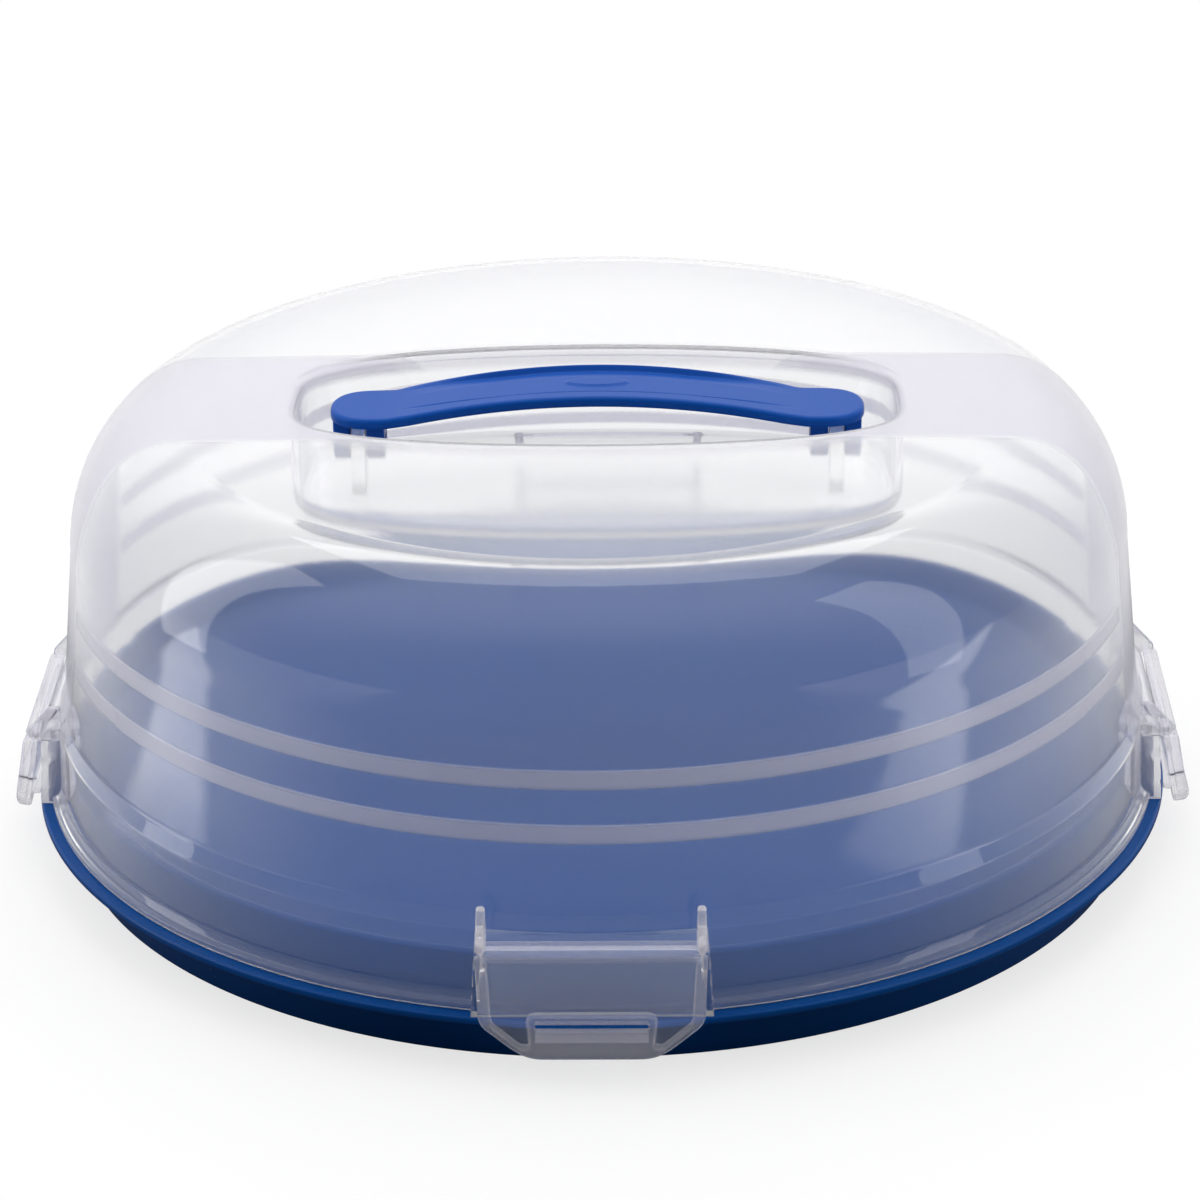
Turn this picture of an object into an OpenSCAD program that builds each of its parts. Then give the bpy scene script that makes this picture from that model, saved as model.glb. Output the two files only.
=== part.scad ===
// Round cake carrier. A shallow tray carries a domed see-through lid. A handle folds into a recess
// in the top of the lid, and four clips hang on the lid and hook under the rim of the tray.
// Millimetres, +Z up. The origin is the centre of the foot, and the front clip is on -Y.

/* [Tray] */
// Diameter over the rim of the tray
tray_d = 350; // [330:1:370]
// Height of the top of the rim above the table
rim_h = 17.1; // [15:0.1:22]
// Thickness of the rim
rim_t = 2.5; // [2:0.1:3.5]
// How far the rim stands out from the outer wall
rim_overhang = 5.5; // [4.5:0.1:7]
// How far the outer wall draws in from the rim down to the foot
foot_inset = 5.5; // [4:0.5:14]
// Wall and floor thickness of the tray
tray_wall = 2.4; // [1.8:0.1:3]
// Height of the top of the floor above the table
floor_h = 27; // [24:0.5:28]
// Height of the raised edge round the floor, which keeps the lid central
edge_h = 6; // [3:0.5:8]
// Width of the flat on top of that edge
edge_w = 3; // [2.5:0.1:5]
// Run of the sloped bank from that edge down to the floor
bank_w = 6; // [4:0.5:12]

/* [Lid] */
// Wall thickness of the lid
lid_wall = 2; // [1.5:0.1:2.5]
// Height of the lid from its lower edge to the flat of its top
lid_h = 120; // [105:0.1:135]
// Width of the tray rim that shows outside the lid
rim_reveal = 3.3; // [2.5:0.1:5]
// How far the flange stands out from the skirt
flange_w = 2.9; // [2:0.1:4]
// Height of the edge of the flange
flange_h = 2; // [1.5:0.1:3]
// Height of the cove above the flange
cove_h = 2.6; // [1.5:0.1:4]
// Height of the skirt from the lower edge to the ledge
skirt_h = 24.1; // [20:0.1:30]
// How far the skirt draws in below the ledge
skirt_draft = 0.8; // [0:0.1:2]
// Width of the sloped ledge between the skirt and the dome wall
ledge_w = 2; // [1.5:0.1:4]
// Height of that ledge
ledge_h = 4.5; // [2:0.1:7]
// How far the dome wall draws in from the ledge to the shoulder
wall_draft = 4.8; // [1:0.1:8]
// Width of the round shoulder
shoulder_w = 33; // [20:0.5:40]
// Height of the round shoulder
shoulder_h = 41.5; // [30:0.5:50]
// Rise of the crown over the flat of the top
crown_h = 1; // [0.5:0.1:3]

/* [Recess] */
// Length of the recess in the top of the lid
recess_l = 181.4; // [176:0.2:200]
// Width of the recess
recess_w = 82; // [70:1:95]
// Depth of the recess below the flat of the top
recess_depth = 30; // [29:0.5:36]

/* [Handle] */
// Length of the handle
handle_l = 162; // [150:1:168]
// Width of the strap at its middle
strap_w = 30; // [26:0.5:32]
// Width of the flat ends
paddle_w = 27; // [24:0.5:28]
// Thickness of the strap
strap_t = 3.3; // [2.5:0.1:4]
// Rise of the strap from its ends to its middle
arch_h = 7.5; // [4:0.5:12]
// Half length of the arched stretch
arch_half = 62; // [55:0.5:64]
// Height of the pivots above the floor of the recess
pivot_h = 16; // [16:0.1:18]
// Height of the top of the flat ends above the pivots
paddle_rise = 11.5; // [11:0.1:14]
// Distance of each lug from the middle of the handle
lug_x = 72.5; // [70:0.1:73]
// Thickness of each lug
lug_t = 4.4; // [3.5:0.1:5]
// Radius of the round ends of lugs and legs
lug_r = 6.5; // [5.5:0.1:7]
// Thickness of the inner legs
inner_leg_t = 5.5; // [4:0.1:7]
// Thickness of the outer legs
outer_leg_t = 5; // [3.5:0.1:5.5]
// Diameter of the stub pins on the lugs
pin_d = 5; // [4:0.1:6]
// Length of each stub pin
pin_l = 4; // [3:0.1:4.5]
// Width of the two grooves along the top of the strap
groove_w = 2.6; // [1.5:0.1:4]
// Depth of those grooves
groove_t = 0.8; // [0.4:0.1:1.5]
// Width of the rim between a groove and the edge of the strap
groove_in = 3.6; // [2.5:0.1:5]
// Length of the oval pad in the middle of the strap
pad_l = 19; // [12:0.5:26]
// Width of the oval pad
pad_w = 7; // [5:0.5:12]
// Height of the oval pad
pad_t = 0.5; // [0.3:0.1:1]

/* [Clips] */
// Width of a clip
clip_w = 64.4; // [50:0.2:80]
// Angle by which a closed clip leans out from its hinge
clip_lean = 10.5; // [10:0.1:12]
// How far inside the rim of the tray the hinge lies
hinge_in = 2.5; // [1.5:0.1:2.6]
// Depth of the hinge below the edge of the ledge
hinge_drop = 1.5; // [0.5:0.1:3]
// Thickness of the thin panel of a clip
panel_t = 1.8; // [1.4:0.1:2.4]
// Thickness of a clip through its raised border
border_t = 4.3; // [3.8:0.1:5]
// Width of the border along the sides
border_w = 2.9; // [2:0.1:4]
// Height of the band between the hinge bar and the panel
head_h = 4.2; // [3.5:0.1:6]
// Diameter of the hinge bar
bar_d = 2.6; // [2.2:0.1:3.2]
// Wall of the eyes around the hinge bar
eye_wall = 1.3; // [1:0.1:1.8]
// Thickness of the fins that carry the eyes
fin_t = 2.6; // [2:0.1:3.5]
// Height of the fins above the hinge
fin_h = 8.5; // [6:0.5:12]
// Width of the slot in a clip
slot_w = 31.6; // [24:0.2:40]
// Height of the slot
slot_gap = 2.4; // [1.5:0.1:3]
// Height of the bar between the slot and the hook
slot_lift = 1.5; // [1.5:0.1:2.5]
// Height of the hook
hook_t = 2.2; // [1.6:0.1:3]
// How far the hook reaches under the rim
hook_reach = 2.4; // [1.5:0.1:3.5]
// Width of the raised edge around the slot
slot_border = 2.4; // [1.8:0.1:3]
// Depth of the clip below its hook, where a finger lifts it
lip_h = 3.7; // [3.4:0.1:7]
// How far each side of a clip draws in on its way down
side_taper = 0.8; // [0:0.1:2]
// Width cut off each lower corner of a clip
corner_w = 12.2; // [8:0.2:14]
// Height of that cut
corner_h = 9.6; // [7:0.2:12]
// Radius of the upper end of that cut
corner_r = 6; // [2:0.5:7]
// Radius of the lower end of that cut
toe_r = 14; // [4:0.5:16]
// Radius of the small corners of the panel
panel_r = 1; // [0.5:0.1:1.5]
// How far the lip flares out at the bottom
lip_flare = 1.7; // [0.5:0.1:3]
// Height of that flare
flare_h = 3.2; // [2:0.1:3.5]

/* [Fits] */
// Gap between the lid and the rim it rests on
seat_gap = 0.3; // [0.2:0.05:0.4]
// Gap between the lid and the raised edge that centres it
edge_gap = 0.5; // [0.3:0.05:0.8]
// Gap between the hook and the underside of the rim
hook_gap = 0.3; // [0.2:0.05:0.5]
// Gap beside legs, lugs and fins
side_gap = 0.3; // [0.2:0.05:0.5]
// Gap around each pin and hinge bar, on the radius
pivot_gap = 0.07; // [0.04:0.01:0.1]

/* [Hidden] */

blue = [0.03, 0.16, 0.55];
milky = [0.86, 0.89, 0.93, 0.55];
eps = 0.01;
round_n = 144;
bore_n = 48;
shoulder_n = 12;
crown_n = 4;
outline_n = 60;
arch_n = 32;
corner_n = 6;
quarter_turns = [0, 90, 180, 270];

// Tray
rim_r = tray_d / 2;
body_r = rim_r - rim_overhang;
foot_r = body_r - foot_inset;
rim_under = rim_h - rim_t;

// Lid
lid_z = rim_h + seat_gap;
flange_r = rim_r - rim_reveal;
skirt_r = flange_r - flange_w;
ledge_r = skirt_r - skirt_draft;
ledge_z = lid_z + skirt_h;
wall_r = ledge_r - ledge_w;
wall_z = ledge_z + ledge_h;
top_z = lid_z + lid_h;
shoulder_r = wall_r - wall_draft;
shoulder_z = top_z - shoulder_h;
crown_r = shoulder_r - shoulder_w;
edge_r = ledge_r - lid_wall - edge_gap;
edge_z = floor_h + edge_h;
bank_top_r = edge_r - edge_w;
bank_r = bank_top_r - bank_w;

// Recess and handle
recess_z = top_z - recess_depth;
recess_power = 0.55;
pivot_z = recess_z + pivot_h;
paddle_z = pivot_z + paddle_rise;
paddle_r = paddle_w / 2;
paddle_x = handle_l / 2 - paddle_r;
leg_in = lug_x - lug_t / 2 - side_gap;
leg_out = lug_x + lug_t / 2 + side_gap;
pin_r = pin_d / 2;

// Clips
hinge_r = rim_r - hinge_in;
hinge_z = ledge_z - hinge_drop;
bar_r = bar_d / 2;
eye_r = bar_r + eye_wall;
fin_x = clip_w / 2 - fin_t / 2 - side_gap;
clip_neck = 2 * (fin_x - fin_t / 2 - side_gap);
shoulder_drop = eye_r + side_gap;
inner_face = bar_r - side_gap;
outer_face = border_t - inner_face;
hook_z = rim_under - hook_gap;
hook_drop = hinge_z - hook_z;
slot_low = hook_drop - slot_lift;
slot_top = slot_low - slot_gap;
hook_root = hinge_r + hook_drop * tan(clip_lean) + outer_face / 2;
clip_drop = hook_drop + hook_t + lip_h;
apron_r = hinge_r - bar_r - side_gap;
apron_w = clip_w + lid_wall / 2;

// Points of a corner at b, between a and c, rounded to radius r
function unit(v) = v / norm(v);
function round_corner(a, b, c, r) =
    let(u = unit(a - b), v = unit(c - b), half = acos(u * v) / 2,
        m = b + unit(u + v) * r / sin(half),
        p = b + u * r / tan(half) - m, q = b + v * r / tan(half) - m,
        from = atan2(p.y, p.x), to = atan2(q.y, q.x),
        turn = (to - from + 540) % 360 - 180)
    [for (i = [0:corner_n]) m + r * [cos(from + turn * i / corner_n), sin(from + turn * i / corner_n)]];
// A closed outline of corners [x, y, radius]
function round_outline(p) =
    [for (i = [0:len(p) - 1])
        let(n = len(p), a = p[(i + n - 1) % n], b = p[i], c = p[(i + 1) % n])
        each (b[2] > 0 ? round_corner([a.x, a.y], [b.x, b.y], [c.x, c.y], b[2]) : [[b.x, b.y]])];
// The same corners mirrored to the left side and joined into one loop
function both_sides(p) = concat(p, [for (i = [len(p) - 1:-1:0]) [-p[i].x, p[i].y, p[i][2]]]);

// Outline of the recess, grown by g: an ellipse with full, blunt ends
function recess_outline(g) =
    [for (i = [0:outline_n - 1]) let(a = 360 * i / outline_n)
        [(recess_l / 2 + g) * cos(a),
         (recess_w / 2 + g) * sign(sin(a)) * pow(abs(sin(a)), recess_power)]];

// Half section of the dome from its centre out to the skirt, set in by o
function dome_section(o) = concat(
    [for (i = [0:crown_n]) let(r = crown_r * i / crown_n)
        [r, top_z + crown_h * (1 - pow(i / crown_n, 2)) - o]],
    [for (i = [1:shoulder_n]) let(a = 90 - 90 * i / shoulder_n)
        [crown_r + (shoulder_w - o) * cos(a), shoulder_z + (shoulder_h - o) * sin(a)]],
    [[wall_r - o, wall_z - o / 2], [ledge_r - o, ledge_z - o / 2], [skirt_r - o, lid_z + flange_h + cove_h]]);

// Height of the top face of the strap at x
function strap_top(x) =
    abs(x) >= arch_half ? paddle_z : paddle_z + arch_h * (1 - pow(x / arch_half, 2));
// Half width of the strap at x
function strap_half(x) = paddle_r + (strap_w - paddle_w) / 2 * (1 - pow(x / paddle_x, 2));

// Extrudes an outline of [distance from the axis, height] across the front of the object
module across(w) {
    rotate([90, 0, -90]) linear_extrude(w, center = true) children();
}

// A round bar across the front of the object
module cross_bar(r, w) {
    rotate([0, 90, 0]) cylinder(h = w, r = r, center = true, $fn = bore_n);
}

// One moulded sheet: floor, bank, raised edge, rim and outer wall down to the foot
module tray() color(blue) rotate_extrude($fn = round_n) polygon([
    [0, floor_h], [bank_r, floor_h], [bank_top_r, edge_z], [edge_r, edge_z],
    [edge_r, rim_h], [rim_r, rim_h], [rim_r, rim_under],
    [body_r, rim_under], [foot_r, 0], [foot_r - tray_wall, 0],
    [body_r - tray_wall, rim_under], [edge_r - tray_wall, rim_under],
    [edge_r - tray_wall, edge_z - tray_wall], [bank_top_r + tray_wall / 3, edge_z - tray_wall],
    [bank_r + tray_wall / 3, floor_h - tray_wall], [0, floor_h - tray_wall]]);

module lid() color(milky) {
    difference() {
        union() {
            difference() {
                union() {
                    dome_outside();
                    for (a = quarter_turns) rotate([0, 0, a]) hinge_block();
                }
                difference() {
                    union() {
                        dome_inside();
                        for (a = quarter_turns) rotate([0, 0, a]) hinge_block_inside();
                    }
                    translate([0, 0, recess_z - lid_wall])
                        linear_extrude(top_z) polygon(recess_outline(lid_wall));
                }
                translate([0, 0, recess_z]) linear_extrude(top_z) polygon(recess_outline(0));
            }
            for (s = [-1, 1]) translate([s * lug_x, 0, 0]) lug();
        }
        for (a = quarter_turns) rotate([0, 0, a])
            translate([0, -hinge_r, hinge_z]) cross_bar(bar_r + pivot_gap, clip_w + eps);
    }
}

// The solid dome with its flange, before it is hollowed
module dome_outside() {
    rotate_extrude($fn = round_n) polygon(concat(dome_section(0),
        [[skirt_r + flange_w / 2, lid_z + flange_h + cove_h / 3], [flange_r, lid_z + flange_h],
         [flange_r, lid_z], [0, lid_z]]));
}

module dome_inside() {
    rotate_extrude($fn = round_n)
        polygon(concat(dome_section(lid_wall), [[skirt_r - lid_wall, lid_z - 1], [0, lid_z - 1]]));
}

// The flat apron behind a clip and the two fins whose eyes hold the hinge bar
module hinge_block() {
    across(apron_w) polygon([
        [wall_r - lid_wall, lid_z], [flange_r, lid_z], [flange_r, lid_z + flange_h],
        [apron_r, hinge_z - bar_d], [apron_r, hinge_z], [ledge_r, ledge_z], [wall_r - lid_wall, ledge_z]]);
    for (s = [-1, 1]) translate([s * fin_x, 0, 0]) {
        across(fin_t) polygon([
            [wall_r - 2 * lid_wall, hinge_z + fin_h], [wall_r + ledge_w, hinge_z + fin_h],
            [hinge_r + eye_r * cos(35), hinge_z + eye_r * sin(35)],
            [hinge_r, hinge_z - eye_r], [wall_r - 2 * lid_wall, hinge_z - eye_r]]);
        translate([0, -hinge_r, hinge_z]) cross_bar(eye_r, fin_t);
    }
}

// The hollow of the apron, open at the bottom
module hinge_block_inside() {
    across(apron_w - 2 * lid_wall) polygon([
        [wall_r - 2 * lid_wall, lid_z - 1], [flange_r - lid_wall, lid_z - 1],
        [flange_r - lid_wall, lid_z + flange_h], [apron_r - lid_wall, hinge_z - bar_d - lid_wall / 2],
        [ledge_r - lid_wall, ledge_z - 2 * lid_wall], [wall_r - 2 * lid_wall, ledge_z - 2 * lid_wall]]);
}

// A round-topped lug in the recess with a stub pin on each side
module lug() {
    across(lug_t) polygon([
        [-lug_r, recess_z - lid_wall / 2], [lug_r, recess_z - lid_wall / 2], [lug_r, pivot_z],
        [-lug_r, pivot_z]]);
    translate([0, 0, pivot_z]) {
        cross_bar(lug_r, lug_t);
        cross_bar(pin_r, lug_t + 2 * pin_l);
    }
}

module handle() color(blue) {
    difference() {
        strap();
        for (s = [-1, 1]) groove(s);
    }
    translate([0, 0, strap_top(0) - strap_t / 2])
        linear_extrude(strap_t / 2 + pad_t) polygon(oval(pad_l / 2, pad_w / 2));
    for (s = [-1, 1]) {
        leg(s * (leg_in - inner_leg_t / 2), inner_leg_t);
        leg(s * (leg_out + outer_leg_t / 2), outer_leg_t);
    }
}

// The arched strap and its flat round ends
module strap() {
    intersection() {
        rotate([90, 0, 0]) linear_extrude(strap_w + 2, center = true) polygon(concat(
            [[-handle_l, paddle_z]],
            [for (i = [-arch_n:arch_n]) let(x = arch_half * i / arch_n) [x, strap_top(x)]],
            [[handle_l, paddle_z], [handle_l, paddle_z - strap_t]],
            [for (i = [arch_n:-1:-arch_n]) let(x = arch_half * i / arch_n) [x, strap_top(x) - strap_t]],
            [[-handle_l, paddle_z - strap_t]]));
        translate([0, 0, pivot_z]) linear_extrude(handle_l) union() {
            polygon(concat(
                [for (i = [-arch_n:arch_n]) let(x = paddle_x * i / arch_n) [x, strap_half(x)]],
                [for (i = [arch_n:-1:-arch_n]) let(x = paddle_x * i / arch_n) [x, -strap_half(x)]]));
            for (s = [-1, 1]) translate([s * paddle_x, 0]) circle(paddle_r, $fn = 96);
        }
    }
}

// What a groove takes out of the top of the strap: s is 1 on the far side and -1 on the near side
module groove(s) {
    half = arch_half - groove_w;
    steps = [for (i = [-arch_n:arch_n]) half * i / arch_n];
    intersection() {
        rotate([90, 0, 0]) linear_extrude(strap_w, center = true) polygon(concat(
            [for (x = steps) [x, strap_top(x) - groove_t]],
            [[half, paddle_z + arch_h + pad_t], [-half, paddle_z + arch_h + pad_t]]));
        translate([0, 0, pivot_z]) linear_extrude(handle_l) polygon(concat(
            [for (x = steps) [x, s * groove_line(x)]],
            [for (i = [len(steps) - 1:-1:0])
                [steps[i], s * (groove_line(steps[i]) - groove_w * groove_share(steps[i]))]]));
    }
}

// Share of its full width that a groove has at x: it thins out towards the ends of the arch
function groove_share(x) = max(0.1, 1 - pow(abs(x) / arch_half, 4));
// Distance of the outer side of a groove from the middle of the strap at x
function groove_line(x) = (strap_half(x) - groove_in) * (1 - 0.3 * pow(abs(x) / arch_half, 3));
// An oval of half lengths a and b
function oval(a, b) = [for (i = [0:outline_n - 1]) [a * cos(360 * i / outline_n), b * sin(360 * i / outline_n)]];

// A leg of the handle with the bore for its stub pin
module leg(x, t) {
    translate([x, 0, pivot_z]) difference() {
        union() {
            cross_bar(lug_r, t);
            translate([-t / 2, -lug_r, 0]) cube([t, 2 * lug_r, paddle_rise - strap_t / 2]);
        }
        cross_bar(pin_r + pivot_gap, t + 1);
    }
}

// A clip in its closed place at the front
module clip() {
    translate([0, -hinge_r, hinge_z]) {
        cross_bar(bar_r, clip_w);
        rotate([-clip_lean, 0, 0]) difference() {
            union() {
                translate([-clip_neck / 2, -outer_face, -shoulder_drop])
                    cube([clip_neck, border_t, shoulder_drop]);
                clip_plate(clip_outline(), outer_face);
                across(slot_w) polygon([[0, -clip_drop], [outer_face + lip_flare, -clip_drop],
                    [outer_face, flare_h - clip_drop], [0, flare_h - clip_drop]]);
            }
            clip_plate(panel_outline(), outer_face + 1, inner_face - panel_t);
            translate([-slot_w / 2, -outer_face - 1, -slot_low])
                cube([slot_w, border_t + 2, slot_gap]);
        }
    }
    across(slot_w) polygon([
        [hook_root, hook_z - hook_t], [rim_r + hook_gap, hook_z - hook_t],
        [rim_r - hook_reach, hook_z - hook_t / 3], [rim_r - hook_reach, hook_z],
        [hook_root, hook_z]]);
}

// A plate of a clip lying along its own outline, from one face to the other
module clip_plate(outline, out, inward = inner_face) {
    rotate([90, 0, 0]) translate([0, 0, -inward]) linear_extrude(out + inward) polygon(outline);
}

function clip_outline() = round_outline(both_sides([
    [clip_w / 2, -shoulder_drop, 0],
    [clip_w / 2 - side_taper, -clip_drop + corner_h, corner_r],
    [clip_w / 2 - side_taper - corner_w, -clip_drop, toe_r]]));

// The thin panel, which runs down on both sides of the raised edge of the slot
function panel_outline() =
    let(side = clip_w / 2 - border_w, slot_side = slot_w / 2 + slot_border, low = border_w - clip_drop)
    round_outline(both_sides([
        [side, -head_h, panel_r],
        [side - side_taper, corner_h - clip_drop, corner_r / 2],
        [slot_side + panel_r * 1.2, low, panel_r],
        [slot_side - panel_r, low, panel_r / 2],
        [slot_side, -slot_top + slot_border, slot_border]]));

module clip_front() color(milky) clip();
module clip_back() color(milky) rotate([0, 0, 180]) clip();
module clip_left() color(milky) rotate([0, 0, -90]) clip();
module clip_right() color(milky) rotate([0, 0, 90]) clip();

tray();
lid();
handle();
clip_front();
clip_back();
clip_left();
clip_right();
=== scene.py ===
import math

import bmesh
import bpy
import numpy as np
from mathutils import Matrix, Vector


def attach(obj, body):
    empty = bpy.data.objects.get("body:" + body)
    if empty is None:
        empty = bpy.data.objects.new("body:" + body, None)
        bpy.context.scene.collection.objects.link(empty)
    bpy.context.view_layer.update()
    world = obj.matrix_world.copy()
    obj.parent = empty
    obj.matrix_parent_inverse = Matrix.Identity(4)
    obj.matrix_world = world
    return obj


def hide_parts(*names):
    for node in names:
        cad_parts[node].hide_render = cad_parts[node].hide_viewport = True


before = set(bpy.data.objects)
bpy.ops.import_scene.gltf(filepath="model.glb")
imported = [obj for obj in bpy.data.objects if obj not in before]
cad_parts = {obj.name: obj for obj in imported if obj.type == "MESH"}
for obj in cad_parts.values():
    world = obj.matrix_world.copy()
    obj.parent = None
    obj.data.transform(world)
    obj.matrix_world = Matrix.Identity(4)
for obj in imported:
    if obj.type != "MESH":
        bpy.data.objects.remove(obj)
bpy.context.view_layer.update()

# The camera of the photograph: 23 degrees above the table, 1.36 m from the middle of the carrier,
# with a long lens and a slight roll. It was worked out from the outlines of the rim and the dome.
frame_width = 1200
lens_pixels = 4309
sensor_width = 36
camera_distance = 1.36
look_up = math.radians(23.02)
roll = math.radians(0.75)
turn = math.radians(1.2)
aim_right, aim_up = 0.0001, 0.06445
right = Vector((1, 0, 0))
up = Vector((0, math.sin(look_up), math.cos(look_up)))
forward = Vector((0, math.cos(look_up), -math.sin(look_up)))
camera_place = aim_right * right + aim_up * up - camera_distance * forward
image_right = math.cos(roll) * right - math.sin(roll) * up
image_up = math.sin(roll) * right + math.cos(roll) * up
axes = Matrix((image_right, image_up, -forward)).transposed().to_4x4()
camera_data = bpy.data.cameras.new("photo_camera")
camera_data.sensor_width = sensor_width
camera_data.lens = sensor_width * lens_pixels / frame_width
camera = bpy.data.objects.new("photo_camera", camera_data)
bpy.context.scene.collection.objects.link(camera)
camera.matrix_world = Matrix.Rotation(turn, 4, "Z") @ Matrix.Translation(camera_place) @ axes
bpy.context.scene.camera = camera


# Tray: one sheet of blue polypropylene, injection moulded. It has a flat rim that the clips hook
# under, a raised floor with an upright edge that keeps the lid central, and a drawn-in foot.
mm = 0.001
tray_rim, tray_rim_top, tray_rim_under = 175.0, 17.1, 14.6
tray_body, tray_foot, tray_wall = 169.5, 164.0, 2.4
tray_edge, tray_edge_top, tray_bank_top, tray_bank, tray_floor = 165.5, 33.0, 162.5, 156.5, 27.0
tray_radii = [4, 1.4, 0.8, 1.2, 0.9, 0.9, 1.2, 0.9, 0.9, 2, 0.8, 0.8, 0.8, 4]


def linear(code):
    """A colour written as sRGB hex, turned to linear light."""
    part = np.array([int(code[i:i + 2], 16) for i in (1, 3, 5)]) / 255
    light = np.where(part <= 0.04045, part / 12.92, ((part + 0.055) / 1.055) ** 2.4)
    return (*light, 1.0)


def add_node(owner, kind, inputs=None, **options):
    """Adds a node to a material or a world. options are the node's own settings. inputs gives
    each input, by name or number, a value, an output, or a node whose first output feeds it."""
    tree = owner.node_tree
    node = tree.nodes.new(kind)
    for name, value in options.items():
        setattr(node, name, value)
    for name, value in (inputs or {}).items():
        value = value.outputs[0] if isinstance(value, bpy.types.Node) else value
        if isinstance(value, bpy.types.NodeSocket):
            tree.links.new(value, node.inputs[name])
        else:
            node.inputs[name].default_value = value
    return node


def work_out(owner, known, steps):
    """Works out values with nodes, one step a line: the new value's name, what is done, and what
    it takes, which are numbers or names of known values. SMOOTHSTEP and LINEAR carry a value
    that goes from one number to the next over to 0 and 1, or to the two numbers after those."""
    range_inputs = ("Value", "From Min", "From Max", "To Min", "To Max")
    for name, operation, *taken in steps:
        taken = [known.get(part, part) for part in taken]
        if operation in ("SMOOTHSTEP", "LINEAR"):
            known[name] = add_node(owner, "ShaderNodeMapRange", dict(zip(range_inputs, taken)),
                                   interpolation_type=operation)
        else:
            known[name] = add_node(owner, "ShaderNodeMath", dict(enumerate(taken)),
                                   operation=operation)
    return known


def new_material(name):
    """An empty material, and the Object coordinates that its patterns are placed by."""
    material = bpy.data.materials.new(name)
    material.use_nodes = True
    material.node_tree.nodes.clear()
    return material, add_node(material, "ShaderNodeTexCoord").outputs["Object"]


def rounded(corners, radii, steps=6):
    """Rounds the inner corners of an open line. Each becomes an arc that touches both its sides,
    worked out by turning from one touching point to the other about the arc's centre."""
    before, at, after = corners[:-2], corners[1:-1], corners[2:]
    back = (before - at) / np.linalg.norm(before - at, axis=1, keepdims=True)
    on = (after - at) / np.linalg.norm(after - at, axis=1, keepdims=True)
    half = np.arccos(np.clip((back * on).sum(1), -1, 1))[:, None] / 2
    radius = np.asarray(radii, float)[:, None]
    middle = (back + on) / np.linalg.norm(back + on, axis=1, keepdims=True)
    centre = at + middle * radius / np.sin(half)
    start = at + back * radius / np.tan(half) - centre
    stop = at + on * radius / np.tan(half) - centre
    share = np.linspace(0, 1, steps)[None, :, None]
    bend = (np.pi - 2 * half)[:, None]
    arc = (np.sin((1 - share) * bend) * start[:, None] + np.sin(share * bend) * stop[:, None])
    arc = centre[:, None] + arc / np.sin(bend)
    return np.concatenate([corners[:1], arc.reshape(-1, 2), corners[-1:]])


def refined(line, step):
    """Adds points to a line so that none of its stretches is longer than step."""
    length = np.concatenate([[0], np.cumsum(np.linalg.norm(np.diff(line, axis=0), axis=1))])
    extra = np.linspace(0, length[-1], int(length[-1] / step) + 2)
    extra = extra[np.abs(extra[:, None] - length[None]).min(1) > step / 3]
    at = np.unique(np.concatenate([length, extra]))
    return np.stack([np.interp(at, length, line[:, 0]), np.interp(at, length, line[:, 1])], 1)


def grid_faces(rows, columns, round_columns=True, round_rows=False):
    """The four corners of every cell of a grid, which may close on itself either way."""
    index = np.arange(rows * columns).reshape(rows, columns)
    if round_columns:
        index = np.concatenate([index, index[:, :1]], 1)
    if round_rows:
        index = np.concatenate([index, index[:1]], 0)
    corners = (index[:-1, :-1], index[:-1, 1:], index[1:, 1:], index[1:, :-1])
    return np.stack(corners, -1).reshape(-1, 4)


def make_piece(name, parts, material, body, crease=40):
    """One piece from a list of (points in mm, faces). Points that meet are merged, so poles and
    seams close, the faces are turned outwards, and edges sharper than crease stay sharp."""
    points = np.concatenate([p.reshape(-1, 3) for p, _ in parts]) * mm
    starts = np.cumsum([0] + [p.reshape(-1, 3).shape[0] for p, _ in parts[:-1]])
    faces = np.concatenate([f + s for (_, f), s in zip(parts, starts)])
    mesh = bpy.data.meshes.new(name)
    mesh.from_pydata(points, [], faces.tolist())
    work = bmesh.new()
    work.from_mesh(mesh)
    bmesh.ops.remove_doubles(work, verts=work.verts, dist=0.000002)
    bmesh.ops.dissolve_degenerate(work, edges=work.edges, dist=0.000001)
    bmesh.ops.recalc_face_normals(work, faces=work.faces)
    work.to_mesh(mesh)
    work.free()
    mesh.shade_smooth()
    mesh.set_sharp_from_angle(angle=math.radians(crease))
    mesh.materials.append(material)
    piece = bpy.data.objects.new(name, mesh)
    bpy.context.scene.collection.objects.link(piece)
    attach(piece, body)
    return piece


def revolved(profile, turns=288):
    """A line of (distance from the axis, height) carried once round the upright axis."""
    angle = np.linspace(0, 2 * np.pi, turns, endpoint=False)
    out, height = profile[:, :1], profile[:, 1:]
    points = np.stack([out * np.sin(angle), -out * np.cos(angle), height + 0 * angle], -1)
    return points, grid_faces(*points.shape[:2])


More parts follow.
